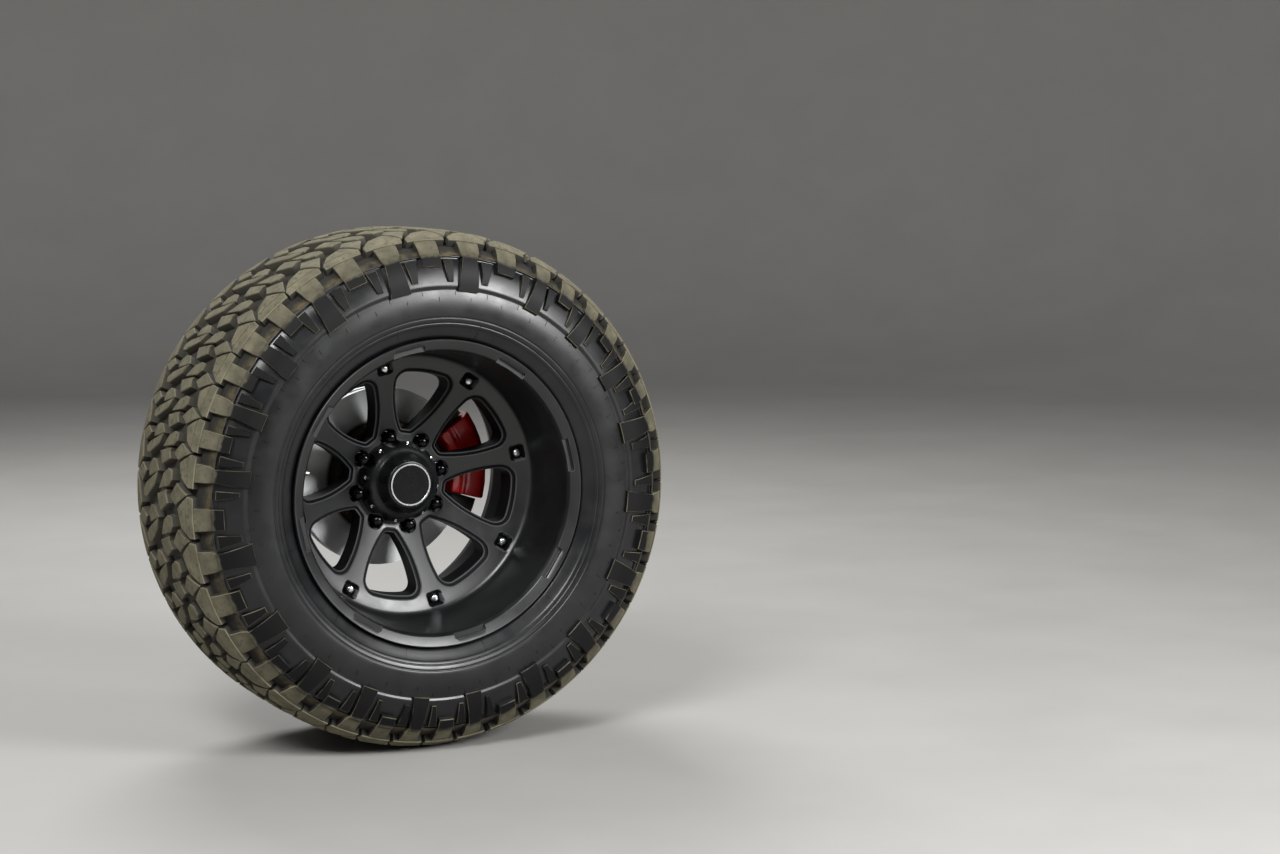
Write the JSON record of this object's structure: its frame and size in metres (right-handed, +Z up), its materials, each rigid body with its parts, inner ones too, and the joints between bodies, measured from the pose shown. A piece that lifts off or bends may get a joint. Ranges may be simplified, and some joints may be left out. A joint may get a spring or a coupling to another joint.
{
  "type": "off-road front wheel end",
  "caption": "Left front wheel end of a lifted truck: lugged tyre on a deep-dish spoked wheel, turning on a hub and brake held by the steering knuckle.",
  "frame": {"origin": "middle of the bore in the knuckle that takes the lower ball joint", "axes": "+Z up, +Y inboard along the axle line, -X towards the front of the vehicle, +X towards its rear"},
  "size_m": [1.01, 0.4918, 1.01],
  "materials": {
    "tyre": "black rubber, dusty tread",
    "wheel_satin_black": "satin black paint on cast aluminium",
    "chrome": "bright chrome plate",
    "cap_black": "satin black moulded cap",
    "emblem": "bright ring on a dark plain plate",
    "nut_black": "black chrome",
    "zinc_steel": "zinc plated steel",
    "machined_iron": "turned cast iron",
    "cast_iron": "dark cast surface",
    "red_paint": "gloss red paint on cast iron",
    "friction": "friction lining on a steel plate"
  },
  "bodies": {
    "knuckle": {"bearing_housing": "cast_iron", "bearing_bolts": "zinc_steel", "dust_shield": "zinc_steel", "knuckle": "cast_iron", "caliper_bracket": "cast_iron", "bracket_bolts": "zinc_steel", "pad_inner": "friction", "pad_outer": "friction", "caliper": "red_paint", "caliper_pistons": "machined_iron", "slide_pins": "zinc_steel"},
    "wheel": {"tyre": "tyre", "rim": "wheel_satin_black", "barrel": "wheel_satin_black", "wheel_centre": "wheel_satin_black", "spoke_bolts": "chrome", "valve": "zinc_steel", "centre_cap": "cap_black", "cap_emblem": "emblem", "cap_screws": "chrome", "wheel_studs": "zinc_steel", "wheel_nuts": "nut_black", "hub": "cast_iron", "brake_disc": "machined_iron"}
  },
  "joints": [
    {"name": "wheel_spin", "type": "hinge", "parent": "knuckle", "child": "wheel", "pos_m": [0, -0.03081, 0.165], "axis": [0, 1, 0], "continuous": true}
  ]
}
